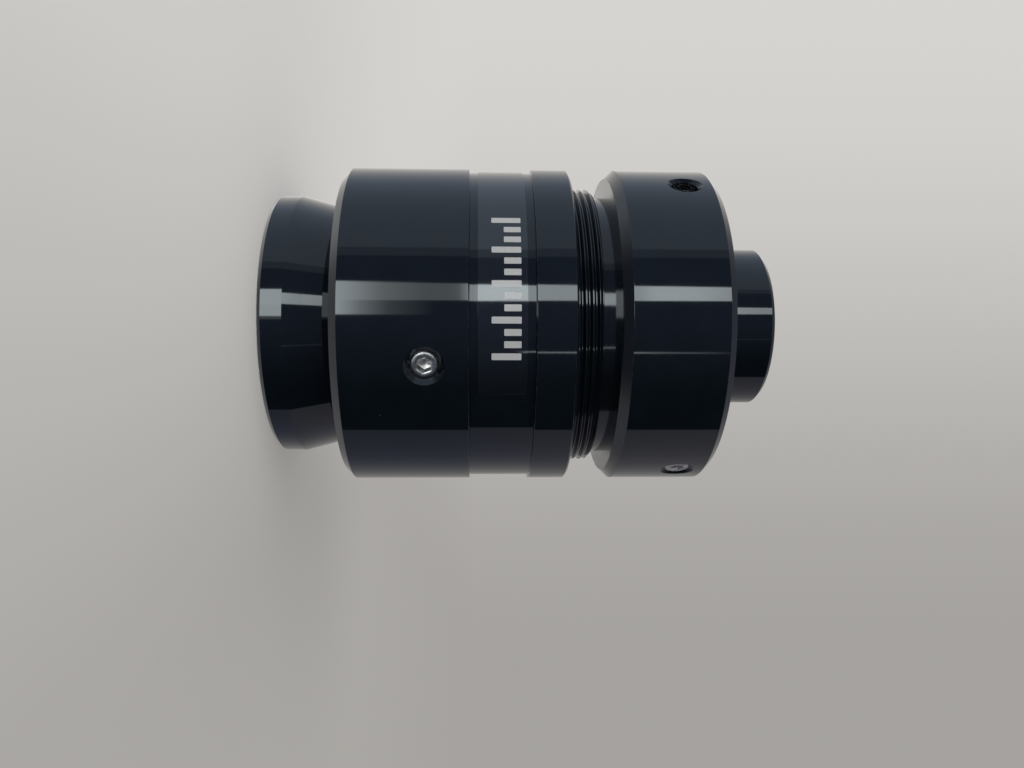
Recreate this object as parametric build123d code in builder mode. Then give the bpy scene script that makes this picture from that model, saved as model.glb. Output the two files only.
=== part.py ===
"""Camera adapter for a microscope port: turned, black-anodised, focused by a screw.

Millimetres. The adapter stands on its dovetail foot. The origin is the centre of the
foot's end face, and +Z runs along the optical axis towards the camera nose.
Angles round the axis are measured from -Y towards +X.
"""

import os
from math import cos, radians, sin, tan

from build123d import *

# Dovetail foot
rim_diameter = 40.9
rim_width = 3.6
rim_bevel = 0.6
neck_length = 7.05
neck_angle = 15.0
foot_shoulder = 1.05
foot_spigot_gap = 1.5
foot_wall = 3.0
foot_recess_depth = 7.5
foot_recess_step = 1.5
foot_mouth_chamfer = 0.5

# Barrel, from the foot's shoulder towards the ring
body_diameter = 50.0
front_land_length = 19.1
label_recess_width = 9.4
label_recess_depth = 0.55
rear_land_length = 5.75
barrel_face_chamfer = 1.2
barrel_end_chamfer = 0.3
barrel_wall = 3.0
cell_bore_length = 13.35
thread_mouth_chamfer = 0.5

# Label film in the barrel's recess
label_thickness = 0.15
label_margin = 0.7
label_edge_angle = 27.1
label_wrap = 190.0
label_corner_radius = 0.5
adhesive_gap = 0.01

# Lens cell and its stack, front to rear
cell_air_gap = 1.0
cell_wall = 3.0
cell_lip_length = 2.6
cell_mouth_flare = 1.5
cell_end_lip = 0.65
lock_groove_depth = 0.8
lock_groove_half_width = 1.3
lens_seat_width = 1.38
crown_edge = 1.4
flint_edge = 3.6
crown_sag = 2.0
cemented_sag = 2.8
flint_sag = 0.9
cement_gap = 0.02
spacer_length = 1.75
stop_thickness = 0.5
aperture_lip = 5.0
retainer_thickness = 2.2

# Focusing sleeve
thread_engagement = 6.5
exposed_thread = 3.95
thread_end_chamfer = 0.6
band_step = 1.3
band_length = 2.25
sleeve_wall = 4.0
spigot_wall = 3.0
sleeve_cone_length = 2.0
closing_gap = 0.2
bore_end_gap = 0.4

# Clamp ring
ring_length = 15.9
ring_front_chamfer = 1.3
ring_rear_chamfer = 1.1
ring_wall = 7.5
ring_rear_wall = 2.0
chamber_length = 6.2

# Camera nose
nose_diameter = 25.4
nose_length = 9.5
nose_edge_chamfer = 0.6
nose_wall = 2.2
flange_cover = 1.5
journal_relief = 0.2
journal_gap = 0.1
nose_groove_depth = 0.8
nose_groove_half_width = 1.3
nose_recess_depth = 3.0
nose_recess_step = 1.5
nose_mouth_chamfer = 0.4

# Screw-in light stops
light_stop_thickness = 1.2
foot_stop_lip = 3.5
nose_stop_lip = 2.0
spanner_slot_width = 1.4
spanner_slot_depth = 0.7

# Hexagon-socket grub screws
screw_diameter = 4.0
screw_point_chamfer = 1.0
screw_top_chamfer = 0.3
socket_across_flats = 2.0
socket_depth = 2.0
lock_screw_sink = 0.8
tight_screw_sink = 2.0
slack_screw_sink = 0.3
lock_countersink_diameter = 5.7
ring_countersink_diameter = 5.2
countersink_angle = 90.0
lock_screw_height = 5.0
lock_screw_angle = 17.1
upper_screw_angle = -53.5
screw_spacing = 120.0

# Fits, all radial unless named otherwise
running_clearance = 0.05
seat_clearance = 0.02
axial_play = 0.1
point_clearance = 0.3
hole_overrun = 1.0

# Radii, worked inwards from the body
rim_radius = rim_diameter / 2
neck_root_radius = rim_radius - neck_length * tan(radians(neck_angle))
foot_spigot_radius = neck_root_radius - foot_shoulder
foot_bore_radius = foot_spigot_radius - foot_wall
foot_recess_radius = foot_bore_radius + foot_recess_step
body_radius = body_diameter / 2
label_floor_radius = body_radius - label_recess_depth
thread_radius = body_radius - barrel_wall
band_radius = thread_radius - band_step
sleeve_bore_radius = thread_radius - sleeve_wall
nose_radius = nose_diameter / 2
journal_radius = nose_radius - journal_relief
flange_radius = body_radius - ring_wall
spigot_radius = flange_radius + flange_cover
spigot_bore_radius = spigot_radius - spigot_wall
nose_bore_radius = nose_radius - nose_wall
nose_recess_radius = nose_bore_radius + nose_recess_step
cell_radius = sleeve_bore_radius - cell_air_gap
lens_bore_radius = cell_radius - cell_wall
lens_radius = lens_bore_radius - seat_clearance
clear_radius = lens_radius - lens_seat_width
screw_radius = screw_diameter / 2

# Heights, worked upwards from the foot's face
barrel_face = rim_width + neck_length
recess_start = barrel_face + front_land_length
recess_end = recess_start + label_recess_width
barrel_end = recess_end + rear_land_length
thread_end = barrel_end + exposed_thread
ring_face = thread_end + band_length
ring_end = ring_face + ring_length
nose_end = ring_end + nose_length
sleeve_front = barrel_end - thread_engagement
travel_in = ring_face - barrel_end - closing_gap
thread_bore_floor = sleeve_front - travel_in - bore_end_gap
cell_front = thread_bore_floor - cell_bore_length
foot_end = cell_front - foot_spigot_gap
chamber_end = ring_end - ring_rear_wall
chamber_start = chamber_end - chamber_length
flange_front = chamber_start + axial_play
flange_rear = chamber_end - axial_play
ring_screw_height = (chamber_start + chamber_end) / 2
lock_height = cell_front + lock_screw_height
lens_seat = cell_front + cell_lip_length
front_spacer_start = lens_seat + crown_edge + flint_edge
stop_start = front_spacer_start + spacer_length
rear_spacer_start = stop_start + stop_thickness
rear_spacer_end = rear_spacer_start + spacer_length
retainer_start = rear_spacer_end + flint_edge + crown_edge
cell_rear = retainer_start + retainer_thickness + cell_end_lip
lock_groove_floor = cell_radius - lock_groove_depth
nose_groove_floor = flange_radius - nose_groove_depth

os.makedirs("parts", exist_ok=True)


def save(part, name):
    """Label a finished piece and write it under its own name."""
    part.label = name
    export_step(part, f"parts/{name}.step")


def round_edges(builder, height):
    """The circular edges at one height, smallest first."""
    circles = builder.edges().filter_by(GeomType.CIRCLE)
    level = circles.filter_by(lambda edge: abs(edge.arc_center.Z - height) < seat_clearance / 2)
    return level.sort_by(SortBy.RADIUS)


def outward(angle):
    """The direction away from the axis at an angle."""
    return Vector(sin(radians(angle)), -cos(radians(angle)), 0)


def side_plane(angle, radius, height):
    """A plane touching the round body at an angle, facing outwards."""
    centre = outward(angle) * radius + Vector(0, 0, height)
    return Plane(centre, x_dir=(0, 0, 1), z_dir=outward(angle))


def groove_points(radius, floor, half_width, height):
    """Corners of a 45 degree sided groove round a turned piece."""
    depth = radius - floor
    return [
        (radius, height - half_width - depth),
        (floor, height - half_width),
        (floor, height + half_width),
        (radius, height + half_width + depth),
    ]


# Dovetail foot: rim, 15 degree neck and the threaded spigot that screws into the barrel.
with BuildPart() as dovetail_foot:
    with BuildSketch(Plane.XZ):
        with BuildLine():
            Polyline(
                (foot_recess_radius, 0),
                (rim_radius, 0),
                (rim_radius, rim_width),
                (neck_root_radius, barrel_face),
                (foot_spigot_radius, barrel_face),
                (foot_spigot_radius, foot_end),
                (foot_bore_radius, foot_end),
                (foot_bore_radius, foot_recess_depth),
                (foot_recess_radius, foot_recess_depth),
                close=True,
            )
        make_face()
    revolve(axis=Axis.Z)
    chamfer(round_edges(dovetail_foot, 0)[-1], rim_bevel)
    chamfer(round_edges(dovetail_foot, 0)[0], foot_mouth_chamfer)
    chamfer(round_edges(dovetail_foot, foot_end)[-1], foot_mouth_chamfer)
save(dovetail_foot.part, "dovetail_foot")


# Barrel: foot thread, lens cell bore and the focusing thread, with the label recess outside.
with BuildPart() as main_barrel:
    with BuildSketch(Plane.XZ):
        with BuildLine():
            Polyline(
                (foot_spigot_radius + seat_clearance, barrel_face),
                (body_radius, barrel_face),
                (body_radius, recess_start),
                (label_floor_radius, recess_start + label_recess_depth),
                (label_floor_radius, recess_end - label_recess_depth),
                (body_radius, recess_end),
                (body_radius, barrel_end),
                (thread_radius + running_clearance, barrel_end),
                (thread_radius + running_clearance, thread_bore_floor),
                (cell_radius + seat_clearance, thread_bore_floor),
                (cell_radius + seat_clearance, cell_front),
                (foot_spigot_radius + seat_clearance, cell_front),
                close=True,
            )
        make_face()
    revolve(axis=Axis.Z)
    chamfer(round_edges(main_barrel, barrel_face)[-1], barrel_face_chamfer)
    chamfer(round_edges(main_barrel, barrel_end)[-1], barrel_end_chamfer)
    chamfer(round_edges(main_barrel, barrel_end)[0], thread_mouth_chamfer)
    with Locations(side_plane(lock_screw_angle, body_radius, lock_height)):
        CounterSinkHole(
            radius=screw_radius,
            counter_sink_radius=lock_countersink_diameter / 2,
            depth=body_radius - cell_radius + hole_overrun,
            counter_sink_angle=countersink_angle,
        )
save(main_barrel.part, "main_barrel")


# Label: a film wrapped round the floor of the recess, ending below the eye line.
label_start = label_edge_angle - label_wrap
label_front = recess_start + label_recess_depth + label_margin
label_rear = recess_end - label_recess_depth - label_margin
label_inner_radius = label_floor_radius + adhesive_gap
label_side = outward(label_start)
label_plane = Plane((0, 0, 0), x_dir=label_side, z_dir=label_side.cross(Vector(0, 0, 1)))
with BuildPart() as label_band:
    with BuildSketch(label_plane):
        with Locations((label_inner_radius, label_front)):
            Rectangle(label_thickness, label_rear - label_front, align=(Align.MIN, Align.MIN))
    revolve(axis=Axis.Z, revolution_arc=label_wrap)
    corners = label_band.edges().filter_by(GeomType.LINE).group_by(SortBy.LENGTH)[0]
    fillet(corners, label_corner_radius)
save(label_band.part, "label_band")


# Lens cell: slides in the barrel and is held by the lock screw in its groove.
with BuildPart() as lens_cell:
    with BuildSketch(Plane.XZ):
        with BuildLine():
            Polyline(
                (clear_radius + cell_mouth_flare, cell_front),
                (cell_radius, cell_front),
                *groove_points(cell_radius, lock_groove_floor, lock_groove_half_width, lock_height),
                (cell_radius, cell_rear),
                (lens_bore_radius, cell_rear),
                (lens_bore_radius, lens_seat),
                (clear_radius, lens_seat),
                close=True,
            )
        make_face()
    revolve(axis=Axis.Z)
save(lens_cell.part, "lens_cell")


def crown_lens(seat, facing):
    """Outer element of a doublet. Facing is +1 where the doublet lies above its seat."""
    edge = seat + facing * crown_edge
    with BuildPart() as lens:
        with BuildSketch(Plane.XZ):
            with BuildLine():
                Line((0, seat - facing * crown_sag), (0, edge + facing * cemented_sag))
                TangentArc((0, edge + facing * cemented_sag), (lens_radius, edge), tangent=(1, 0))
                Polyline((lens_radius, edge), (lens_radius, seat), (clear_radius, seat))
                TangentArc((0, seat - facing * crown_sag), (clear_radius, seat), tangent=(1, 0))
            make_face()
        revolve(axis=Axis.Z)
    return lens.part


def flint_lens(seat, facing):
    """Inner element of a doublet, cemented to the crown's inner face."""
    front = seat + facing * (crown_edge + cement_gap)
    rear = seat + facing * (crown_edge + flint_edge)
    with BuildPart() as lens:
        with BuildSketch(Plane.XZ):
            with BuildLine():
                Line((0, front + facing * cemented_sag), (0, rear + facing * flint_sag))
                TangentArc((0, rear + facing * flint_sag), (clear_radius, rear), tangent=(1, 0))
                Polyline((clear_radius, rear), (lens_radius, rear), (lens_radius, front))
                TangentArc((0, front + facing * cemented_sag), (lens_radius, front), tangent=(1, 0))
            make_face()
        revolve(axis=Axis.Z)
    return lens.part


save(crown_lens(lens_seat, 1), "front_crown_lens")
save(flint_lens(lens_seat, 1), "front_flint_lens")
save(flint_lens(retainer_start, -1), "rear_flint_lens")
save(crown_lens(retainer_start, -1), "rear_crown_lens")


def plain_ring(outer_radius, inner_radius, start, length):
    """A flat turned ring."""
    with BuildPart() as ring:
        with BuildSketch(Plane.XY.offset(start)):
            Circle(outer_radius)
            Circle(inner_radius, mode=Mode.SUBTRACT)
        extrude(amount=length)
    return ring.part


def spanner_ring(outer_radius, inner_radius, start, length, slots_up):
    """A screw-in ring with two slots for a pin spanner in one face."""
    slot_face = start + length if slots_up else start
    with BuildPart() as ring:
        with BuildSketch(Plane.XY.offset(start)):
            Circle(outer_radius)
            Circle(inner_radius, mode=Mode.SUBTRACT)
        extrude(amount=length)
        with BuildSketch(Plane.XY.offset(slot_face)):
            Rectangle(2 * outer_radius + hole_overrun, spanner_slot_width)
        extrude(amount=-spanner_slot_depth if slots_up else spanner_slot_depth, mode=Mode.SUBTRACT)
    return ring.part


save(plain_ring(lens_radius, clear_radius, front_spacer_start, spacer_length), "front_spacer")
save(plain_ring(lens_radius, lens_radius - aperture_lip, stop_start, stop_thickness), "aperture_stop")
save(plain_ring(lens_radius, clear_radius, rear_spacer_start, spacer_length), "rear_spacer")
save(
    spanner_ring(lens_radius, clear_radius, retainer_start, retainer_thickness, slots_up=True),
    "lens_retaining_ring",
)

foot_stop_radius = foot_recess_radius - seat_clearance
foot_stop = spanner_ring(
    foot_stop_radius,
    foot_stop_radius - foot_stop_lip,
    foot_recess_depth - light_stop_thickness,
    light_stop_thickness,
    slots_up=False,
)
save(foot_stop, "foot_light_stop")

nose_stop_radius = nose_recess_radius - seat_clearance
nose_stop = spanner_ring(
    nose_stop_radius,
    nose_stop_radius - nose_stop_lip,
    flange_front + nose_recess_depth - light_stop_thickness,
    light_stop_thickness,
    slots_up=False,
)
save(nose_stop, "nose_light_stop")


# Focusing sleeve: thread in the barrel, plain band, and a spigot that carries the ring.
with BuildPart() as focus_sleeve:
    with BuildSketch(Plane.XZ):
        with BuildLine():
            Polyline(
                (sleeve_bore_radius, sleeve_front),
                (thread_radius, sleeve_front),
                (thread_radius, thread_end - thread_end_chamfer),
                (thread_radius - thread_end_chamfer, thread_end),
                (band_radius, thread_end),
                (band_radius, ring_face),
                (spigot_radius, ring_face),
                (spigot_radius, chamber_start),
                (spigot_bore_radius, chamber_start),
                (spigot_bore_radius, ring_face),
                (sleeve_bore_radius, ring_face - sleeve_cone_length),
                close=True,
            )
        make_face()
    revolve(axis=Axis.Z)
    chamfer(round_edges(focus_sleeve, sleeve_front)[-1], thread_mouth_chamfer)
save(focus_sleeve.part, "focus_sleeve")


# Clamp ring: holds the nose's flange in its chamber, with three screws round the rim.
screw_angles = [upper_screw_angle + step * screw_spacing for step in range(3)]
with BuildPart() as clamp_ring:
    with BuildSketch(Plane.XZ):
        with BuildLine():
            Polyline(
                (spigot_radius + seat_clearance, ring_face),
                (body_radius, ring_face),
                (body_radius, ring_end),
                (nose_radius + running_clearance, ring_end),
                (nose_radius + running_clearance, chamber_end),
                (flange_radius + running_clearance, chamber_end),
                (flange_radius + running_clearance, chamber_start),
                (spigot_radius + seat_clearance, chamber_start),
                close=True,
            )
        make_face()
    revolve(axis=Axis.Z)
    chamfer(round_edges(clamp_ring, ring_face)[-1], ring_front_chamfer)
    chamfer(round_edges(clamp_ring, ring_end)[-1], ring_rear_chamfer)
    for angle in screw_angles:
        with Locations(side_plane(angle, body_radius, ring_screw_height)):
            CounterSinkHole(
                radius=screw_radius,
                counter_sink_radius=ring_countersink_diameter / 2,
                depth=body_radius - flange_radius + hole_overrun,
                counter_sink_angle=countersink_angle,
            )
save(clamp_ring.part, "clamp_ring")


# Camera nose: a tube with a grooved flange that the ring carries and its screws grip.
with BuildPart() as nose_tube:
    with BuildSketch(Plane.XZ):
        with BuildLine():
            Polyline(
                (nose_recess_radius, flange_front),
                (flange_radius, flange_front),
                *groove_points(flange_radius, nose_groove_floor, nose_groove_half_width, ring_screw_height),
                (flange_radius, flange_rear),
                (journal_radius, flange_rear),
                (journal_radius, ring_end + journal_gap),
                (nose_radius, ring_end + journal_gap),
                (nose_radius, nose_end),
                (nose_bore_radius, nose_end),
                (nose_bore_radius, flange_front + nose_recess_depth),
                (nose_recess_radius, flange_front + nose_recess_depth),
                close=True,
            )
        make_face()
    revolve(axis=Axis.Z)
    chamfer(round_edges(nose_tube, nose_end)[-1], nose_edge_chamfer)
    chamfer(round_edges(nose_tube, nose_end)[0], nose_mouth_chamfer)
save(nose_tube.part, "nose_tube")


def grub_screw(angle, height, outer_radius, length):
    """A hexagon-socket grub screw lying along a radius, its socket facing outwards."""
    top = side_plane(angle, outer_radius, height)
    with BuildPart() as screw:
        with BuildSketch(top):
            Circle(screw_radius - seat_clearance)
        extrude(amount=-length)
        ends = screw.edges().filter_by(GeomType.CIRCLE).sort_by(Axis(top.origin, top.z_dir))
        chamfer(ends[0], screw_point_chamfer)
        ends = screw.edges().filter_by(GeomType.CIRCLE).sort_by(Axis(top.origin, top.z_dir))
        chamfer(ends[-1], screw_top_chamfer)
        with BuildSketch(top):
            RegularPolygon(socket_across_flats / 2, side_count=6, major_radius=False)
        extrude(amount=-socket_depth, mode=Mode.SUBTRACT)
    return screw.part


lock_screw_top = body_radius - lock_screw_sink
lock_screw_length = lock_screw_top - lock_groove_floor - seat_clearance
save(grub_screw(lock_screw_angle, lock_height, lock_screw_top, lock_screw_length), "cell_lock_screw")

# The lower screw is backed off, as in the photograph. The other two stand just clear of the
# nose's groove, so that the ring can turn.
ring_screw_length = body_radius - tight_screw_sink - nose_groove_floor - point_clearance
ring_screws = {
    "ring_screw_upper": tight_screw_sink,
    "ring_screw_lower": slack_screw_sink,
    "ring_screw_hidden": tight_screw_sink,
}
for angle, (name, sink) in zip(screw_angles, ring_screws.items()):
    save(grub_screw(angle, ring_screw_height, body_radius - sink, ring_screw_length), name)
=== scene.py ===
"""Looks of the camera adapter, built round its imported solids.

The turned pieces get fine meshes with rounded edges, the focusing sleeve gets its real
thread, and every surface gets a procedural finish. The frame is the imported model's, in
metres. Outlines below are written in millimetres, as (radius, station, rounding). Angles
round the axis are degrees from -Y towards +X.
"""

from math import cos, degrees, pi, radians, sin, tan

import bmesh
import bpy
from mathutils import Matrix, Vector


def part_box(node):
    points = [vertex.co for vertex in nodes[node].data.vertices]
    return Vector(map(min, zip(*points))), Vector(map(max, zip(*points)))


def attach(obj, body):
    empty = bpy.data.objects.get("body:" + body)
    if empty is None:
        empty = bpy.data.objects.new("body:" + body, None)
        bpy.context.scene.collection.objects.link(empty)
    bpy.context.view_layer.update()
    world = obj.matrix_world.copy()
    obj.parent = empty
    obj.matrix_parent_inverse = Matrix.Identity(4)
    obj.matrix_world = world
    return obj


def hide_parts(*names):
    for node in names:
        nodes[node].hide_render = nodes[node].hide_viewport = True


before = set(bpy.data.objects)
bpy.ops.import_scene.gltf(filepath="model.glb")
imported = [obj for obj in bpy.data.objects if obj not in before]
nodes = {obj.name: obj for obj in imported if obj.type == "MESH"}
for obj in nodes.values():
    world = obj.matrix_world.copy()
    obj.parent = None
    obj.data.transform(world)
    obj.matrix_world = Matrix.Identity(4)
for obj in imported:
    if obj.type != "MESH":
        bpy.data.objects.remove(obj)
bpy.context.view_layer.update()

mm = 0.001
segments = 360


# Outer sizes and stations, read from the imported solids
def stations(node):
    """A node's outer radius, its lowest and its highest station, in millimetres."""
    low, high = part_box(node)
    return high.x / mm, low.z / mm, high.z / mm


rim_radius, foot_face, foot_end = stations("dovetail_foot")
body_radius, barrel_face, barrel_end = stations("main_barrel")
thread_radius, sleeve_front, sleeve_end = stations("focus_sleeve")
ring_radius, ring_face, ring_end = stations("clamp_ring")
flange_radius, flange_front, nose_end = stations("nose_tube")
label_front, label_rear = stations("label_band")[1:]
cell_radius, cell_front = stations("lens_cell")[:2]

# Details of the turned pieces, the same as in the model
rim_width = 3.6
rim_bevel = 0.6
neck_root_radius = 18.561
foot_spigot_radius = 17.511
foot_bore_radius = 14.511
foot_recess_radius = 16.011
foot_recess_depth = 7.5
foot_mouth_chamfer = 0.5
barrel_face_chamfer = 1.2
barrel_end_chamfer = 0.3
label_recess = (29.75, 39.15)
label_recess_depth = 0.55
label_wall_width = 0.12
thread_bore_floor = 32.0
thread_mouth_chamfer = 0.5
thread_end = 48.85
thread_end_chamfer = 0.6
band_radius = 20.7
spigot_radius = 19.0
spigot_bore_radius = 16.0
sleeve_bore_radius = 18.0
sleeve_cone_length = 2.0
ring_front_chamfer = 1.3
ring_rear_chamfer = 1.1
ring_rear_wall = 2.0
nose_radius = 12.7
journal_radius = 12.5
journal_gap = 0.1
nose_bore_radius = 10.5
nose_recess_radius = 12.0
nose_recess_depth = 3.0
nose_edge_chamfer = 0.6
nose_mouth_chamfer = 0.4
groove_depth = 0.8
groove_half_width = 1.3
axial_play = 0.1
running_clearance = 0.05
seat_clearance = 0.02

# The focusing thread
thread_pitch = 1.0
thread_crest_width = 0.17
thread_root_width = 0.12
groove_station = 46.77

# Screws and their holes
lock_screw_angle = 17.1
lock_screw_station = 23.65
ring_screw_angles = {"ring_screw_upper": -53.5, "ring_screw_lower": 66.5, "ring_screw_hidden": 186.5}
ring_screw_station = 61.9
screw_radius = 1.98
hole_radius = 2.0
lock_countersink_radius = 2.85
ring_countersink_radius = 2.6
hole_run_out = 1.0
lock_screw_sink = 0.8
tight_screw_sink = 2.0
slack_screw_sink = 0.3

# A grub screw's own shape
screw_length = 4.6
screw_point_radius = 1.0
screw_point_length = 1.0
screw_edge_width = 0.32
screw_edge_height = 0.34
socket_half_width = 1.0
socket_chamfer = 0.16
socket_depth = 1.9
socket_drill_radius = 0.8
socket_drill_depth = 2.4

# Label film and its marks
label_edge_angle = 27.1
label_wrap = 190.0
label_glue = 0.01
label_thickness = 0.15
label_corner = 0.5
label_edge = 0.04
marks_span = (-33.9, 15.1)
marks_band = (32.9, 37.0)
mark_count = 13
mark_share = 0.56
short_mark_start = 0.42
mark_corner = 0.12
mark_thickness = 0.015

# The rounding of a turned edge
fine_edge = 0.06


def rounded(corners, steps=4):
    """The closed outline through the corners, with each corner's rounding as an arc.

    Each point comes with 1 where it lies inside an arc, and 0 elsewhere.
    """
    points = []
    for index, (radius, station, rounding) in enumerate(corners):
        corner = Vector((radius, station))
        if rounding == 0:
            points.append((corner, 0.0))
            continue
        before = (Vector(corners[index - 1][:2]) - corner).normalized()
        after = (Vector(corners[(index + 1) % len(corners)][:2]) - corner).normalized()
        half = before.angle(after) / 2
        centre = corner + (before + after).normalized() * rounding / sin(half)
        spoke = corner + before * rounding / tan(half) - centre
        turn = before.cross(after)
        sweep = (pi - 2 * half) * (1 if turn < 0 else -1)
        for step in range(steps + 1):
            angle = sweep * step / steps
            across = spoke.x * cos(angle) - spoke.y * sin(angle)
            along = spoke.x * sin(angle) + spoke.y * cos(angle)
            points.append((centre + Vector((across, along)), 0.0 if step in (0, steps) else 1.0))
    return points


def finished(name, mesh_builder, smooth_angle=30):
    """A shown object from a bmesh, with sharp edges only where it turns sharply."""
    mesh = bpy.data.meshes.new(name)
    mesh_builder.to_mesh(mesh)
    mesh_builder.free()
    piece = bpy.data.objects.new(name, mesh)
    bpy.context.scene.collection.objects.link(piece)
    smooth(piece, smooth_angle)
    return piece


def smooth(piece, angle=30):
    """Smooth shading, apart from edges that turn by more than the angle."""
    builder = bmesh.new()
    builder.from_mesh(piece.data)
    for face in builder.faces:
        face.smooth = True
    for edge in builder.edges:
        edge.smooth = len(edge.link_faces) == 2 and edge.calc_face_angle(0) < radians(angle)
    builder.to_mesh(piece.data)
    builder.free()


def weigh_normals(piece):
    """Normals that follow the large faces, so that a flat or a cylinder shines straight."""
    modifier = piece.modifiers.new("weighted", "WEIGHTED_NORMAL")
    modifier.keep_sharp = True
    bake_modifiers(piece)


def bake_modifiers(piece):
    """The piece with its modifiers applied."""
    depsgraph = bpy.context.evaluated_depsgraph_get()
    mesh = bpy.data.meshes.new_from_object(piece.evaluated_get(depsgraph))
    old = piece.data
    piece.modifiers.clear()
    piece.data = mesh
    mesh.name = piece.name
    bpy.data.meshes.remove(old)


def skin(builder, rings):
    """Faces from each ring of vertices to the next, given back ring by ring."""
    levels = []
    for near, far in zip(rings, rings[1:]):
        level = []
        for i in range(len(near)):
            j = (i + 1) % len(near)
            level.append(builder.faces.new((near[i], near[j], far[j], far[i])))
        levels.append(level)
    return levels


def closed_skin(builder, rings):
    """The rings' faces with a face over each end."""
    skin(builder, rings)
    builder.faces.new(rings[0])
    builder.faces.new(rings[-1])


def revolve(name, corners, count=segments):
    """A solid turned round the axis from its outline."""
    outline = rounded(corners)
    builder = bmesh.new()
    edge_layer = builder.verts.layers.float.new("edge")
    columns = []
    for column in range(count):
        angle = 2 * pi * column / count
        column_verts = []
        for point, on_arc in outline:
            vert = builder.verts.new((point.x * mm * sin(angle), -point.x * mm * cos(angle), point.y * mm))
            vert[edge_layer] = on_arc
            column_verts.append(vert)
        columns.append(column_verts)
    for column in range(count):
        near, far = columns[column], columns[(column + 1) % count]
        for row in range(len(outline)):
            after = (row + 1) % len(outline)
            builder.faces.new((near[row], far[row], far[after], near[after]))
    bmesh.ops.recalc_face_normals(builder, faces=builder.faces)
    return finished(name, builder)


def outward(angle):
    """The direction away from the axis at an angle."""
    return Vector((sin(radians(angle)), -cos(radians(angle)), 0))


def radial_frame(angle, radius, station):
    """A placement with its Z pointing away from the axis and its X along the axis."""
    away = outward(angle)
    along = Vector((0, 0, 1))
    side = away.cross(along)
    turn = Matrix((along, side, away)).transposed().to_4x4()
    return Matrix.Translation((away * radius + along * station) * mm) @ turn


def cut(piece, cutter):
    """The piece with the cutter's volume taken out of it."""
    modifier = piece.modifiers.new("cut", "BOOLEAN")
    modifier.operation = "DIFFERENCE"
    modifier.solver = "EXACT"
    modifier.object = cutter
    bake_modifiers(piece)
    bpy.data.objects.remove(cutter)


def screw_hole(piece, angle, station, countersink_radius, depth):
    """A countersunk hole drilled towards the axis."""
    sides = 72
    lift = 0.4
    steps = [
        (countersink_radius + lift, lift),
        (hole_radius, hole_radius - countersink_radius),
        (hole_radius, -depth),
    ]
    builder = bmesh.new()
    rings = []
    for radius, height in steps:
        ring = []
        for i in range(sides):
            turn = 2 * pi * i / sides
            ring.append(builder.verts.new((radius * mm * cos(turn), radius * mm * sin(turn), height * mm)))
        rings.append(ring)
    closed_skin(builder, rings)
    bmesh.ops.recalc_face_normals(builder, faces=builder.faces)
    cutter = finished("cutter", builder)
    cutter.matrix_world = radial_frame(angle, body_radius, station)
    bpy.context.view_layer.update()
    cut(piece, cutter)


def thread_groove():
    """The helical groove that leaves a thread when it is cut from the sleeve."""
    columns = 240
    lift = 0.05
    flank = tan(radians(30))
    root_half = thread_root_width / 2
    groove_half = (thread_pitch - thread_crest_width) / 2
    depth = (groove_half - root_half) / flank
    crest_half = groove_half + lift * flank
    section = [
        (thread_radius + lift, -crest_half),
        (thread_radius - depth, -root_half),
        (thread_radius - depth, root_half),
        (thread_radius + lift, crest_half),
    ]
    first = int(-(groove_station - sleeve_front + thread_pitch) / thread_pitch)
    last = int((thread_end - groove_station + 2 * thread_pitch) / thread_pitch)
    builder = bmesh.new()
    rings = []
    for step in range(first * columns, last * columns + 1):
        angle = 2 * pi * (step + 0.5) / columns
        station = groove_station + thread_pitch * (step + 0.5) / columns
        ring = []
        for radius, offset in section:
            x, y = radius * mm * sin(angle), -radius * mm * cos(angle)
            ring.append(builder.verts.new((x, y, (station + offset) * mm)))
        rings.append(ring)
    closed_skin(builder, rings)
    bmesh.ops.recalc_face_normals(builder, faces=builder.faces)
    return finished("cutter", builder)


def dress(piece, node, body, material):
    """The piece rides on a body with its finish, and stands for the node, if one is named."""
    piece.data.materials.clear()
    piece.data.materials.append(material)
    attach(piece, body)
    if node:
        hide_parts(node)
    return piece


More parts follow.
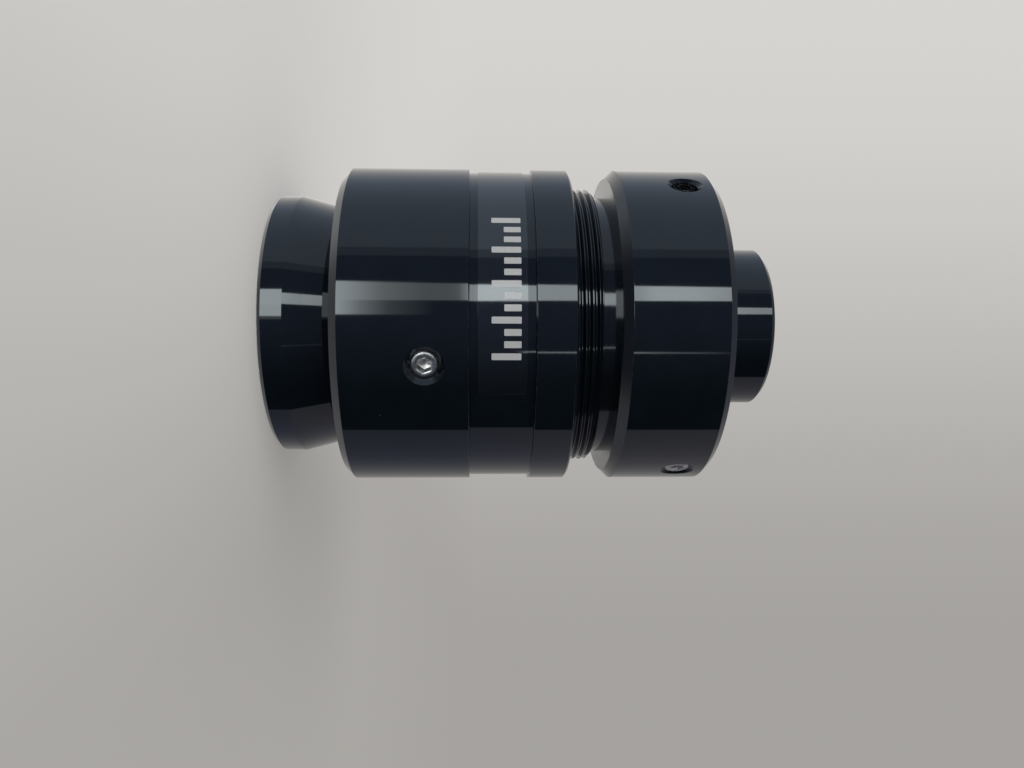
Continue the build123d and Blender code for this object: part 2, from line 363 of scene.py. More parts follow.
class Graph:
    """A node tree with short calls for adding and linking nodes."""

    def __init__(self, tree):
        self.tree = tree
        tree.nodes.clear()

    def feed(self, socket, value):
        if isinstance(value, bpy.types.NodeSocket):
            self.tree.links.new(value, socket)
        else:
            socket.default_value = value

    def add(self, kind, inputs=(), **settings):
        node = self.tree.nodes.new(kind)
        for name, value in settings.items():
            setattr(node, name, value)
        for name, value in dict(inputs).items():
            self.feed(node.inputs[name], value)
        return node

    def math(self, operation, *values, clamp=False):
        node = self.add("ShaderNodeMath", operation=operation, use_clamp=clamp)
        for socket, value in zip(node.inputs, values):
            self.feed(socket, value)
        return node.outputs[0]

    def ramp(self, value, low, high, start=0.0, end=1.0, smooth_step=True):
        kind = "SMOOTHSTEP" if smooth_step else "LINEAR"
        names = {"Value": value, "From Min": low, "From Max": high, "To Min": start, "To Max": end}
        return self.add("ShaderNodeMapRange", names, interpolation_type=kind).outputs["Result"]

    def mix(self, share, first, second):
        node = self.add("ShaderNodeMix", data_type="RGBA")
        self.feed(node.inputs["Factor"], share)
        self.feed(node.inputs[6], first)
        self.feed(node.inputs[7], second)
        return node.outputs[2]

    def noise(self, vector, scale, detail=3.0, roughness=0.5):
        names = {"Vector": vector, "Scale": scale, "Detail": detail, "Roughness": roughness}
        return self.add("ShaderNodeTexNoise", names).outputs["Fac"]

    def curve(self, value, stops):
        """A smooth curve through a few stops, given as place and height."""
        places = list(stops)
        low, high = places[0], places[-1]
        top = max(stops.values())
        node = self.add("ShaderNodeValToRGB", {"Fac": self.ramp(value, low, high, smooth_step=False)})
        elements = node.color_ramp.elements
        elements[0].position, elements[1].position = 0.0, 1.0
        for place in places[1:-1]:
            elements.new((place - low) / (high - low))
        for element, place in zip(elements, places):
            level = stops[place] / top
            element.color = (level, level, level, 1.0)
        return self.math("MULTIPLY", node.outputs["Color"], top)

    def tint(self, colour, level):
        """A colour times a level."""
        node = self.add("ShaderNodeVectorMath", operation="SCALE")
        self.feed(node.inputs[0], colour if isinstance(colour, bpy.types.NodeSocket) else colour[:3])
        self.feed(node.inputs["Scale"], level)
        return node.outputs[0]

    def combine(self, x, y, z):
        return self.add("ShaderNodeCombineXYZ", {"X": x, "Y": y, "Z": z}).outputs[0]

    def length(self, x, y, softening=0.0):
        """The length of (x, y), never less than the softening."""
        square = self.math("ADD", self.math("MULTIPLY", x, x), self.math("MULTIPLY", y, y))
        if softening:
            square = self.math("ADD", square, softening * softening)
        return self.math("SQRT", square)

    def band(self, value, low, high, edge):
        """1 between low and high, with soft edges."""
        rise = self.ramp(value, low - edge, low + edge)
        fall = self.ramp(value, high - edge, high + edge, 1.0, 0.0)
        return self.math("MULTIPLY", rise, fall)


def rgb(red, green, blue):
    return (red, green, blue, 1.0)


def new_material(name):
    """An empty material, its graph and its output node."""
    material = bpy.data.materials.new(name)
    material.use_nodes = True
    graph = Graph(material.node_tree)
    return material, graph, graph.add("ShaderNodeOutputMaterial")


def turned_coordinates(graph):
    """The object point in millimetres, and one stretched along the lathe's marks."""
    point = graph.add("ShaderNodeTexCoord").outputs["Object"]
    scaled = graph.add("ShaderNodeVectorMath", operation="SCALE")
    graph.feed(scaled.inputs[0], point)
    scaled.inputs["Scale"].default_value = 1 / mm
    millimetres = scaled.outputs[0]
    split = graph.add("ShaderNodeSeparateXYZ", {"Vector": millimetres})
    x, y, z = split.outputs
    radius = graph.length(x, y)
    across = graph.math("MULTIPLY_ADD", radius, 1.7, z)
    unit_x = graph.math("DIVIDE", x, radius)
    unit_y = graph.math("DIVIDE", y, radius)
    return millimetres, graph.combine(unit_x, unit_y, across)


def anodised(name, colour, roughness, lines=1.0, dust=1.0):
    """Dyed anodised aluminium: lathe marks, faint mottling, dust, and edges worn a little paler."""
    material, graph, output = new_material(name)
    millimetres, along = turned_coordinates(graph)
    stretch = graph.add("ShaderNodeVectorMath", operation="MULTIPLY")
    graph.feed(stretch.inputs[0], along)
    stretch.inputs[1].default_value = (1.6, 1.6, 13.0)
    marks = graph.noise(stretch.outputs[0], 1.0, 4.0, 0.65)
    mottle = graph.noise(millimetres, 0.22, 5.0, 0.6)
    patches = graph.noise(millimetres, 1.9, 3.0, 0.55)

    specks = graph.add("ShaderNodeTexVoronoi", {"Vector": millimetres, "Scale": 0.42, "Randomness": 1.0})
    chance = graph.add("ShaderNodeSeparateColor", {"Color": specks.outputs["Color"]})
    size = graph.ramp(chance.outputs[0], 0.9, 1.0, 0.0, 0.07 * dust, smooth_step=False)
    speck = graph.math("LESS_THAN", specks.outputs["Distance"], size)

    edge = graph.add("ShaderNodeAttribute", attribute_name="edge").outputs["Fac"]
    worn = graph.math("MULTIPLY", edge, graph.ramp(patches, 0.42, 0.75))

    deep = rgb(*colour)
    lighter = rgb(*(value * 1.3 for value in colour))
    shade = graph.mix(graph.ramp(mottle, 0.3, 0.7), deep, lighter)
    shade = graph.mix(graph.math("MULTIPLY", worn, 0.5), shade, rgb(0.10, 0.105, 0.11))
    shade = graph.mix(graph.math("MULTIPLY", speck, 0.8), shade, rgb(0.22, 0.21, 0.19))

    gloss = graph.math("MULTIPLY_ADD", marks, 0.03 * lines, roughness - 0.015 * lines)
    gloss = graph.math("ADD", gloss, graph.ramp(mottle, 0.45, 0.8, 0.0, 0.02))
    gloss = graph.math("ADD", gloss, graph.math("MULTIPLY", speck, 0.5), clamp=True)

    height = graph.math("MULTIPLY_ADD", speck, 6.0, graph.math("MULTIPLY", marks, lines))
    bump = graph.add("ShaderNodeBump", {"Strength": 0.35, "Distance": 0.0000010, "Height": height})
    shader = graph.add("ShaderNodeBsdfPrincipled", {
        "Base Color": shade, "Roughness": gloss, "Normal": bump.outputs[0],
    })
    shader.inputs["IOR"].default_value = 1.5
    graph.feed(output.inputs["Surface"], shader.outputs[0])
    return material


def film(name):
    """The label's dark gloss film, a little hazy, with the finest scuffs."""
    material, graph, output = new_material(name)
    millimetres, along = turned_coordinates(graph)
    haze = graph.noise(millimetres, 0.8, 4.0, 0.6)
    scuffs = graph.noise(along, 18.0, 3.0, 0.7)
    shade = graph.mix(graph.ramp(haze, 0.3, 0.7), rgb(0.0030, 0.0050, 0.0070), rgb(0.0042, 0.0062, 0.0082))
    gloss = graph.math("MULTIPLY_ADD", scuffs, 0.05, 0.04)
    bump = graph.add("ShaderNodeBump", {"Strength": 0.25, "Distance": 0.000004, "Height": haze})
    shader = graph.add("ShaderNodeBsdfPrincipled", {
        "Base Color": shade, "Roughness": gloss, "Normal": bump.outputs[0],
    })
    shader.inputs["IOR"].default_value = 1.72
    graph.feed(output.inputs["Surface"], shader.outputs[0])
    return material


def print_ink(name):
    """Pale screen ink, with slight thinning across each mark."""
    material, graph, output = new_material(name)
    millimetres, _ = turned_coordinates(graph)
    grain = graph.noise(millimetres, 6.0, 4.0, 0.6)
    shade = graph.mix(graph.ramp(grain, 0.3, 0.75), rgb(0.50, 0.51, 0.515), rgb(0.42, 0.43, 0.435))
    gloss = graph.math("MULTIPLY_ADD", grain, 0.12, 0.22)
    shader = graph.add("ShaderNodeBsdfPrincipled", {"Base Color": shade, "Roughness": gloss})
    graph.feed(output.inputs["Surface"], shader.outputs[0])
    return material


def steel(name, level=1.0):
    """Plain grub-screw steel: drawn, a little stained, brighter where the key has rubbed; a level below 1
    darkens the whole colour, as painted shade.
    """
    material, graph, output = new_material(name)
    millimetres = turned_coordinates(graph)[0]
    stain = graph.noise(millimetres, 2.6, 5.0, 0.65)
    grain = graph.noise(millimetres, 14.0, 3.0, 0.6)
    edge = graph.add("ShaderNodeAttribute", attribute_name="edge").outputs["Fac"]
    shade = graph.mix(graph.ramp(stain, 0.35, 0.75), rgb(0.50, 0.47, 0.44), rgb(0.24, 0.22, 0.21))
    shade = graph.mix(graph.math("MULTIPLY", edge, 0.7), shade, rgb(0.72, 0.70, 0.68))
    shade = graph.tint(shade, level)
    gloss = graph.math("MULTIPLY_ADD", grain, 0.2, 0.26)
    bump = graph.add("ShaderNodeBump", {"Strength": 0.5, "Distance": 0.00002, "Height": grain})
    shader = graph.add("ShaderNodeBsdfPrincipled", {
        "Base Color": shade, "Roughness": gloss, "Normal": bump.outputs[0],
    })
    shader.inputs["Metallic"].default_value = 1.0
    graph.feed(output.inputs["Surface"], shader.outputs[0])
    return material


def coated_glass(name, tint):
    """Optical glass under an anti-reflection coating that reflects a faint colour."""
    material, graph, output = new_material(name)
    millimetres = turned_coordinates(graph)[0]
    dust = graph.noise(millimetres, 1.4, 4.0, 0.6)
    gloss = graph.ramp(dust, 0.55, 0.9, 0.0, 0.03)
    glass = graph.add("ShaderNodeBsdfPrincipled", {"Base Color": rgb(0.97, 0.99, 0.98), "Roughness": gloss})
    glass.inputs["Transmission Weight"].default_value = 1.0
    glass.inputs["IOR"].default_value = 1.52
    sheen = graph.add("ShaderNodeBsdfGlossy", {"Color": rgb(*tint), "Roughness": 0.02})
    facing = graph.add("ShaderNodeLayerWeight", {"Blend": 0.35})
    share = graph.math("MULTIPLY_ADD", facing.outputs["Facing"], 0.25, 0.03)
    both = graph.add("ShaderNodeMixShader", {"Fac": share})
    graph.feed(both.inputs[1], glass.outputs[0])
    graph.feed(both.inputs[2], sheen.outputs[0])
    graph.feed(output.inputs["Surface"], both.outputs[0])
    return material


gloss_black = anodised("gloss_black", (0.0026, 0.0046, 0.0070), 0.05)
thread_black = anodised("thread_black", (0.0030, 0.0048, 0.0068), 0.08, lines=1.2, dust=0.5)
satin_black = anodised("satin_black", (0.0045, 0.0060, 0.0080), 0.16, lines=1.5, dust=0.6)
matt_black = anodised("matt_black", (0.016, 0.016, 0.018), 0.55, lines=0.8, dust=0.4)
label_film = film("label_film")
label_ink = print_ink("label_ink")
screw_steel = steel("screw_steel")
# A darker copy of the steel for the socket's walls and bottom: painted shade inside the recess
socket_steel_painted_shade = steel("socket_steel_painted_shade", 0.2)
magenta_glass = coated_glass("magenta_coated_glass", (0.75, 0.45, 0.85))
green_glass = coated_glass("green_coated_glass", (0.45, 0.85, 0.62))


# Dovetail foot, with the fine line that the tool left across its taper
def taper_radius(station):
    """Radius of the foot's taper at a station."""
    share = (station - rim_width) / (barrel_face - rim_width)
    return rim_radius + (neck_root_radius - rim_radius) * share


tool_line_station = 6.5
tool_line_half_width = 0.05
tool_line_depth = 0.012
foot = revolve("foot_turned", [
    (foot_recess_radius + foot_mouth_chamfer, foot_face, fine_edge),
    (rim_radius - rim_bevel, foot_face, fine_edge),
    (rim_radius, foot_face + rim_bevel, fine_edge),
    (rim_radius, rim_width, fine_edge),
    (taper_radius(tool_line_station - tool_line_half_width), tool_line_station - tool_line_half_width, 0),
    (taper_radius(tool_line_station) - tool_line_depth, tool_line_station, 0),
    (taper_radius(tool_line_station + tool_line_half_width), tool_line_station + tool_line_half_width, 0),
    (neck_root_radius, barrel_face, 0),
    (foot_spigot_radius, barrel_face, 0),
    (foot_spigot_radius, foot_end - foot_mouth_chamfer, 0),
    (foot_spigot_radius - foot_mouth_chamfer, foot_end, 0),
    (foot_bore_radius, foot_end, 0),
    (foot_bore_radius, foot_recess_depth, fine_edge),
    (foot_recess_radius, foot_recess_depth, 0),
    (foot_recess_radius, foot_face + foot_mouth_chamfer, fine_edge),
])
weigh_normals(foot)
dress(foot, "dovetail_foot", "barrel", gloss_black)

# Barrel, with its label recess and the hole for the lock screw
recess_start, recess_end = label_recess
label_floor_radius = body_radius - label_recess_depth
barrel = revolve("barrel_turned", [
    (foot_spigot_radius + seat_clearance, barrel_face, 0),
    (body_radius - barrel_face_chamfer, barrel_face, fine_edge),
    (body_radius, barrel_face + barrel_face_chamfer, fine_edge),
    (body_radius, recess_start, fine_edge),
    (label_floor_radius, recess_start + label_wall_width, 0),
    (label_floor_radius, recess_end - label_wall_width, 0),
    (body_radius, recess_end, fine_edge),
    (body_radius, barrel_end - barrel_end_chamfer, fine_edge),
    (body_radius - barrel_end_chamfer, barrel_end, fine_edge),
    (thread_radius + running_clearance + thread_mouth_chamfer, barrel_end, fine_edge),
    (thread_radius + running_clearance, barrel_end - thread_mouth_chamfer, 0),
    (thread_radius + running_clearance, thread_bore_floor, 0),
    (cell_radius + seat_clearance, thread_bore_floor, 0),
    (cell_radius + seat_clearance, cell_front, 0),
    (foot_spigot_radius + seat_clearance, cell_front, 0),
])
lock_hole_depth = body_radius - cell_radius + hole_run_out
screw_hole(barrel, lock_screw_angle, lock_screw_station, lock_countersink_radius, lock_hole_depth)
smooth(barrel)
weigh_normals(barrel)
dress(barrel, "main_barrel", "barrel", gloss_black)

# Focusing sleeve, with its thread cut as a helix
sleeve = revolve("sleeve_threaded", [
    (sleeve_bore_radius, sleeve_front, 0),
    (thread_radius - thread_mouth_chamfer, sleeve_front, 0),
    (thread_radius, sleeve_front + thread_mouth_chamfer, 0),
    (thread_radius, thread_end - thread_end_chamfer, 0),
    (thread_radius - thread_end_chamfer, thread_end, 0),
    (band_radius, thread_end, fine_edge),
    (band_radius, ring_face, 0),
    (spigot_radius, ring_face, 0),
    (spigot_radius, sleeve_end, 0),
    (spigot_bore_radius, sleeve_end, fine_edge),
    (spigot_bore_radius, ring_face, 0),
    (sleeve_bore_radius, ring_face - sleeve_cone_length, 0),
])
cut(sleeve, thread_groove())
smooth(sleeve)
weigh_normals(sleeve)
dress(sleeve, "focus_sleeve", "focus_ring", thread_black)

# Clamp ring, with its three screw holes
chamber_end = ring_end - ring_rear_wall
ring = revolve("ring_turned", [
    (spigot_radius + seat_clearance, ring_face, 0),
    (ring_radius - ring_front_chamfer, ring_face, fine_edge),
    (ring_radius, ring_face + ring_front_chamfer, fine_edge),
    (ring_radius, ring_end - ring_rear_chamfer, fine_edge),
    (ring_radius - ring_rear_chamfer, ring_end, fine_edge),
    (nose_radius + running_clearance, ring_end, fine_edge),
    (nose_radius + running_clearance, chamber_end, 0),
    (flange_radius + running_clearance, chamber_end, 0),
    (flange_radius + running_clearance, sleeve_end, 0),
    (spigot_radius + seat_clearance, sleeve_end, 0),
])
ring_hole_depth = body_radius - flange_radius + hole_run_out
for angle in ring_screw_angles.values():
    screw_hole(ring, angle, ring_screw_station, ring_countersink_radius, ring_hole_depth)
smooth(ring)
weigh_normals(ring)
dress(ring, "clamp_ring", "focus_ring", gloss_black)

# The ring's flat front face is duller than the rest of it
flatness = 0.01
ring.data.materials.append(satin_black)
for face in ring.data.polygons:
    if face.normal.z < -0.95 and abs(face.center.z / mm - ring_face) < flatness:
        face.material_index = 1

# Camera nose
groove_rise = groove_half_width + groove_depth
nose = revolve("nose_turned", [
    (nose_recess_radius, flange_front, 0),
    (flange_radius, flange_front, fine_edge),
    (flange_radius, ring_screw_station - groove_rise, 0),
    (flange_radius - groove_depth, ring_screw_station - groove_half_width, 0),
    (flange_radius - groove_depth, ring_screw_station + groove_half_width, 0),
    (flange_radius, ring_screw_station + groove_rise, 0),
    (flange_radius, chamber_end - axial_play, 0),
    (journal_radius, chamber_end - axial_play, 0),
    (journal_radius, ring_end + journal_gap, 0),
    (nose_radius, ring_end + journal_gap, fine_edge / 2),
    (nose_radius, nose_end - nose_edge_chamfer, fine_edge),
    (nose_radius - nose_edge_chamfer, nose_end, fine_edge),
    (nose_bore_radius + nose_mouth_chamfer, nose_end, fine_edge),
    (nose_bore_radius, nose_end - nose_mouth_chamfer, fine_edge),
    (nose_bore_radius, flange_front + nose_recess_depth, 0),
    (nose_recess_radius, flange_front + nose_recess_depth, 0),
])
weigh_normals(nose)
dress(nose, "nose_tube", "nose", gloss_black)


def patch(builder, angles, band, radii, corner=0.0, columns=64):
    """A thin curved sheet between two angles, two stations and two radii, with rounded corners."""
    start, end = angles
    front, rear = band
    inner, outer = radii
    corner_angle = degrees(corner / outer)
    edge_steps = 8 if corner else 0
    places = []
    for step in range(edge_steps):
        share = 1 - cos(pi / 2 * step / edge_steps)
        places.append((start + corner_angle * share, corner * (1 - sin(pi / 2 * step / edge_steps))))
    inside = (start + corner_angle, end - corner_angle)
    for column in range(columns + 1):
        places.append((inside[0] + (inside[1] - inside[0]) * column / columns, 0.0))
    for step in reversed(range(edge_steps)):
        share = 1 - cos(pi / 2 * step / edge_steps)
        places.append((end - corner_angle * share, corner * (1 - sin(pi / 2 * step / edge_steps))))
    rings = []
    for angle, inset in places:
        away = outward(angle) * mm
        lift = Vector((0, 0, mm))
        rings.append([
            builder.verts.new(away * inner + lift * (front + inset)),
            builder.verts.new(away * outer + lift * (front + inset)),
            builder.verts.new(away * outer + lift * (rear - inset)),
            builder.verts.new(away * inner + lift * (rear - inset)),
        ])
    closed_skin(builder, rings)


# Label film, and a plain scale of bars where the photograph has its print
film_floor = label_floor_radius + label_glue
film_radius = film_floor + label_thickness
builder = bmesh.new()
patch(
    builder,
    (label_edge_angle - label_wrap, label_edge_angle),
    (label_front, label_rear),
    (film_floor, film_radius),
    corner=label_corner,
    columns=240,
)
bmesh.ops.recalc_face_normals(builder, faces=builder.faces)
label = finished("label_film_sheet", builder)
bevel = label.modifiers.new("edge", "BEVEL")
bevel.width = label_edge * mm
bevel.segments = 2
bevel.limit_method = "ANGLE"
bake_modifiers(label)
smooth(label)
weigh_normals(label)
dress(label, "label_band", "barrel", label_film)

builder = bmesh.new()
pitch = (marks_span[1] - marks_span[0]) / (mark_count - 1 + mark_share)
for index in range(mark_count):
    start = marks_span[0] + pitch * index
    front, rear = marks_band
    if index % 3:
        front += (rear - front) * short_mark_start
    patch(
        builder,
        (start, start + pitch * mark_share),
        (front, rear),
        (film_radius, film_radius + mark_thickness),
        corner=mark_corner,
        columns=8,
    )
bmesh.ops.recalc_face_normals(builder, faces=builder.faces)
marks = finished("label_marks", builder)
dress(marks, None, "barrel", label_ink)


def grub_screw(name, node, body, angle, station, top_radius):
    """A hexagon-socket grub screw in its hole, with broken edges and a drilled socket."""
    sides = 48
    layers = [
        ("round", screw_point_radius, -screw_length, 0),
        ("round", screw_radius, screw_point_length - screw_length, 0),
        ("round", screw_radius, -screw_edge_height, 0),
        ("round", screw_radius - 0.06, -0.22, 1),
        ("round", screw_radius - 0.24, -0.04, 1),
        ("round", screw_radius - screw_edge_width, 0.0, 0),
        ("hexagon", socket_half_width + socket_chamfer, 0.0, 0),
        ("hexagon", socket_half_width + 0.05, -0.06, 1),
        ("hexagon", socket_half_width, -socket_chamfer, 1),
        ("hexagon", socket_half_width, -socket_depth, 0),
        ("round", socket_drill_radius, -socket_depth - 0.1, 0),
    ]
    socket_level = 8
    builder = bmesh.new()
    edge_layer = builder.verts.layers.float.new("edge")
    rings = []
    for shape, size, height, on_edge in layers:
        ring = []
        for i in range(sides):
            turn = 2 * pi * i / sides
            reach = size
            if shape == "hexagon":
                reach = size / cos((turn + pi / 6) % (pi / 3) - pi / 6)
            vert = builder.verts.new((reach * mm * cos(turn), reach * mm * sin(turn), height * mm))
            vert[edge_layer] = on_edge
            ring.append(vert)
        rings.append(ring)
    socket_faces = sum(skin(builder, rings)[socket_level:], [])
    builder.faces.new(rings[0])
    tip = builder.verts.new((0, 0, -socket_drill_depth * mm))
    for i in range(sides):
        socket_faces.append(builder.faces.new((rings[-1][i], rings[-1][(i + 1) % sides], tip)))
    # The socket's walls and bottom take the darkened steel: painted shade in the recess
    for face in socket_faces:
        face.material_index = 1
    bmesh.ops.recalc_face_normals(builder, faces=builder.faces)
    screw = finished(name, builder)
    screwed_in = Matrix.Rotation(radians(angle * 3), 4, "Z")
    screw.data.transform(radial_frame(angle, top_radius, station) @ screwed_in)
    dress(screw, node, body, screw_steel)
    screw.data.materials.append(socket_steel_painted_shade)


lock_screw_place = (lock_screw_angle, lock_screw_station, body_radius - lock_screw_sink)
grub_screw("lock_screw_steel", "cell_lock_screw", "barrel", *lock_screw_place)
for node, angle in ring_screw_angles.items():
    sink = slack_screw_sink if node == "ring_screw_lower" else tight_screw_sink
    grub_screw(node + "_steel", node, "focus_ring", angle, ring_screw_station, ring_radius - sink)

# Inner pieces keep their solids and get their finishes
finishes = {
    "foot_light_stop": matt_black,
    "nose_light_stop": matt_black,
    "lens_cell": matt_black,
    "front_spacer": matt_black,
    "aperture_stop": matt_black,
    "rear_spacer": matt_black,
    "lens_retaining_ring": matt_black,
    "front_crown_lens": magenta_glass,
    "front_flint_lens": green_glass,
    "rear_flint_lens": green_glass,
    "rear_crown_lens": magenta_glass,
}
for node, material in finishes.items():
    for material_slot in nodes[node].material_slots:
        material_slot.material = material

# Light: an even pale surround, and a soft sun that only the floor and matt surfaces see
surround_light = 0.75
sun_light = 0.8
sun_spread = 50
sun_direction = Vector((0.45, 0.5, -0.74)).normalized()
light_on_floor = surround_light + sun_light * -sun_direction.z / pi

sun_data = bpy.data.lights.new("soft_sun", "SUN")
sun_data.energy = sun_light
sun_data.angle = radians(sun_spread)
sun = bpy.data.objects.new("soft_sun", sun_data)
sun.rotation_mode = "QUATERNION"
sun.rotation_quaternion = sun_direction.to_track_quat("-Z", "Y")
sun.visible_glossy = False
bpy.context.scene.collection.objects.link(sun)


def backdrop_tone(graph, x, y, softening):
    """The pale surround's colour by direction: lighter towards -X, as in the photograph; this is painted
    light, brighter on the side the light comes from.
    """
    side = graph.ramp(graph.math("DIVIDE", x, graph.length(x, y, softening)), -0.45, 0.32)
    return graph.mix(side, rgb(0.72, 0.705, 0.68), rgb(0.40, 0.385, 0.37))


def surround_pattern(graph, x, y, elevation, azimuth):
    """What gloss reflects: a dim room, dark in front, with tall lights before and behind.

    The azimuth runs from -Y towards +X, and the elevation from the horizon, in degrees.
    """
    dimming = graph.ramp(graph.math("ABSOLUTE", azimuth), 112.0, 150.0)
    lighter_side = graph.mix(dimming, rgb(0.50, 0.60, 0.75), rgb(0.86, 0.84, 0.81))
    rising = graph.ramp(elevation, -6.0, 14.0)
    darker_side = graph.mix(rising, rgb(0.25, 0.26, 0.36), rgb(0.35, 0.34, 0.39))
    darker_side = graph.mix(dimming, darker_side, rgb(0.40, 0.395, 0.385))
    room = graph.mix(graph.ramp(x, -0.12, 0.12), lighter_side, darker_side)

    half_dark_from, dark_from, dark_to = -51.5, -45.0, 84.2
    dark = graph.mix(graph.ramp(azimuth, -8.0, 62.0), rgb(0.12, 0.15, 0.24), rgb(0.012, 0.016, 0.02))
    half_dark = graph.band(azimuth, half_dark_from, dark_to, 0.4)
    room = graph.mix(graph.math("MULTIPLY", half_dark, 0.55), room, dark)
    room = graph.mix(graph.band(azimuth, dark_from, dark_to, 0.25), room, dark)

    pole = graph.ramp(graph.math("ABSOLUTE", elevation), 26.0, 64.0)
    pole_light = graph.mix(graph.ramp(y, -0.10, 0.18), rgb(0.12, 0.13, 0.17), rgb(0.50, 0.51, 0.54))
    past_side = graph.ramp(y, 0.12, 0.40)
    upper_side = graph.math("MULTIPLY", graph.ramp(x, -0.18, -0.55), past_side)
    lower_side = graph.math("MULTIPLY", graph.ramp(x, 0.2, 0.7), past_side)
    pole_light = graph.mix(upper_side, pole_light, rgb(1.30, 1.30, 1.28))
    pole_light = graph.mix(lower_side, pole_light, rgb(0.70, 0.70, 0.70))
    pole_light = graph.mix(graph.ramp(elevation, -30.0, 30.0), pole_light, rgb(0.20, 0.21, 0.25))
    room = graph.mix(pole, room, pole_light)

    light = rgb(0.90, 1.0, 1.04)
    light_height = 46.0
    tall = graph.curve(elevation, {
        -46: 3.0, -14: 6.9, -9.3: 6.2, -6.4: 2.6, -3.6: 1.5, -1.0: 1.5, -0.4: 5.9, 5: 5.5,
        11: 5.6, 12: 7.3, 15: 7.0, 17: 5.6, 19: 4.6, 46: 3.0,
    })
    heights = graph.band(elevation, -light_height, light_height, 1.0)
    low_patch = graph.math("MULTIPLY", graph.band(azimuth, -26.3, -3.1, 0.4), heights)
    low_fade = graph.curve(elevation, {-46: 1.0, -9.3: 1.0, -7.8: 0.42, -6.0: 0.12, -3.0: 0.0})
    room = graph.mix(graph.math("MULTIPLY", low_patch, low_fade), room, graph.tint(light, 6.4))
    rim_heights = graph.band(elevation, -light_height, -11.0, 1.0)
    low_rim = graph.math("MULTIPLY", graph.band(azimuth, -2.9, -0.4, 0.2), rim_heights)
    room = graph.mix(low_rim, room, graph.tint(light, 0.9))
    rise = graph.ramp(graph.math("MULTIPLY_ADD", elevation, -0.085, azimuth), -25.1, -24.7)
    fall = graph.ramp(graph.math("MULTIPLY_ADD", elevation, 0.03, azimuth), -13.4, -13.0, 1.0, 0.0)
    narrow = graph.math("MULTIPLY", graph.math("MULTIPLY", rise, fall), heights)
    room = graph.mix(narrow, room, graph.tint(light, tall))

    slit = graph.curve(elevation, {3.1: 0.0, 3.4: 1.0, 11: 1.0, 13: 0.6, 16: 0.3, 17: 0.08, 30: 0.0})
    slit = graph.math("MULTIPLY", graph.band(azimuth, 22.2, 23.2, 0.2), slit)
    room = graph.mix(slit, room, graph.tint(light, 3.0))

    least_y = 0.05
    rear_heights = graph.band(elevation, -light_height, 14.5, 0.3)
    rear = graph.band(graph.math("DIVIDE", x, graph.math("MAXIMUM", y, least_y)), -0.175, 0.036, 0.004)
    rear = graph.math("MULTIPLY", rear, graph.ramp(y, 0.0, least_y))
    return graph.mix(graph.math("MULTIPLY", rear, rear_heights), room, graph.tint(light, 5.5))


def studio_world():
    """The surround: plain for the camera, even for matt surfaces, and a pattern for gloss."""
    world = bpy.data.worlds.new("studio")
    world.use_nodes = True
    bpy.context.scene.world = world
    world.cycles.sampling_method = "NONE"
    graph = Graph(world.node_tree)
    direction = graph.add("ShaderNodeTexCoord").outputs["Generated"]
    x, y, z = graph.add("ShaderNodeSeparateXYZ", {"Vector": direction}).outputs
    azimuth = graph.math("DEGREES", graph.math("ARCTAN2", x, graph.math("MULTIPLY", y, -1.0)))
    elevation = graph.math("DEGREES", graph.math("ARCSINE", z))

    rays = graph.add("ShaderNodeLightPath")
    seen = graph.math("MAXIMUM", rays.outputs["Is Camera Ray"], rays.outputs["Is Transmission Ray"])
    plain = graph.tint(backdrop_tone(graph, x, y, 0.0), light_on_floor)
    even = rgb(surround_light, surround_light, surround_light)
    colour = graph.mix(seen, even, plain)
    pattern = surround_pattern(graph, x, y, elevation, azimuth)
    colour = graph.mix(rays.outputs["Is Glossy Ray"], colour, pattern)
    background = graph.add("ShaderNodeBackground", {"Color": colour, "Strength": 1.0})
    output = graph.add("ShaderNodeOutputWorld")
    graph.feed(output.inputs["Surface"], background.outputs[0])


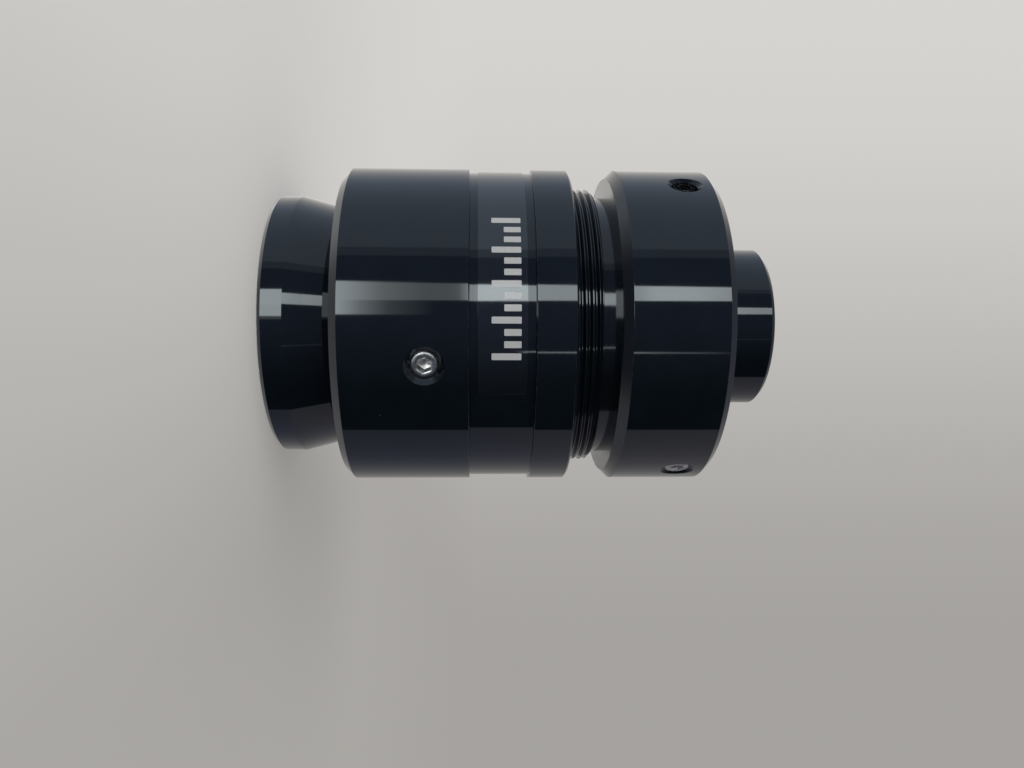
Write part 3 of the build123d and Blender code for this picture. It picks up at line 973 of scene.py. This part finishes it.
def pale_floor():
    """A wide plain floor under the foot, which takes a soft shadow. Near the foot its tone is darker
    towards +X, which is painted shade, and half of its shader is its own glow, painted light that makes the
    shadow paler.
    """
    floor_radius = 6.0
    near_radius = 0.11
    builder = bmesh.new()
    bmesh.ops.create_circle(builder, cap_ends=True, segments=128, radius=floor_radius)
    floor = finished("floor", builder)
    floor.location.z = foot_face * mm
    material, graph, output = new_material("floor")
    point = graph.add("ShaderNodeTexCoord").outputs["Object"]
    x, y, z = graph.add("ShaderNodeSeparateXYZ", {"Vector": point}).outputs
    distance = graph.add("ShaderNodeVectorMath", {0: point}, operation="LENGTH").outputs["Value"]
    closeness = graph.math("DIVIDE", near_radius, graph.math("MAXIMUM", distance, near_radius))
    far = graph.ramp(closeness, 1.0, 0.0, smooth_step=False)
    # Near the object the floor is darker towards +X, the side away from the sun: painted shade where the
    # object's shadow falls
    near = graph.mix(graph.ramp(x, -0.035, 0.04), rgb(0.68, 0.665, 0.645), rgb(0.43, 0.415, 0.395))
    tone = graph.mix(far, near, backdrop_tone(graph, x, y, near_radius))
    lit = graph.add("ShaderNodeBsdfDiffuse", {"Color": tone, "Roughness": 0.0})
    # Half of the floor's shader is a glow of its lit colour: painted light that makes the object's shadow
    # paler
    glow = graph.add("ShaderNodeEmission", {"Color": graph.tint(tone, light_on_floor), "Strength": 1.0})
    both = graph.add("ShaderNodeMixShader", {"Fac": 0.5})
    graph.feed(both.inputs[1], lit.outputs[0])
    graph.feed(both.inputs[2], glow.outputs[0])
    graph.feed(output.inputs["Surface"], both.outputs[0])
    floor.data.materials.append(material)
    floor.visible_glossy = False


def photo_camera():
    """The camera where the photograph's outline puts it: level, with the axis across the frame."""
    focal_pixels = 839.27
    frame_width = 1024
    yaw = -0.0423
    roll = 0.0016
    place = Vector((0.0096876, -0.1387682, 0.0308509))
    data = bpy.data.cameras.new("camera")
    data.sensor_width = 36.0
    data.lens = data.sensor_width * focal_pixels / frame_width
    data.clip_start = 0.001
    data.clip_end = 100.0
    camera = bpy.data.objects.new("camera", data)
    right, up, back = Vector((0, 0, 1)), Vector((-1, 0, 0)), Vector((0, -1, 0))
    base = Matrix((right, up, back)).transposed()
    turn = base @ Matrix.Rotation(yaw, 3, "Y") @ Matrix.Rotation(roll, 3, "Z")
    camera.matrix_world = Matrix.Translation(place) @ turn.to_4x4()
    bpy.context.scene.collection.objects.link(camera)
    bpy.context.scene.camera = camera


studio_world()
pale_floor()
photo_camera()
bpy.context.scene.view_settings.view_transform = "Standard"
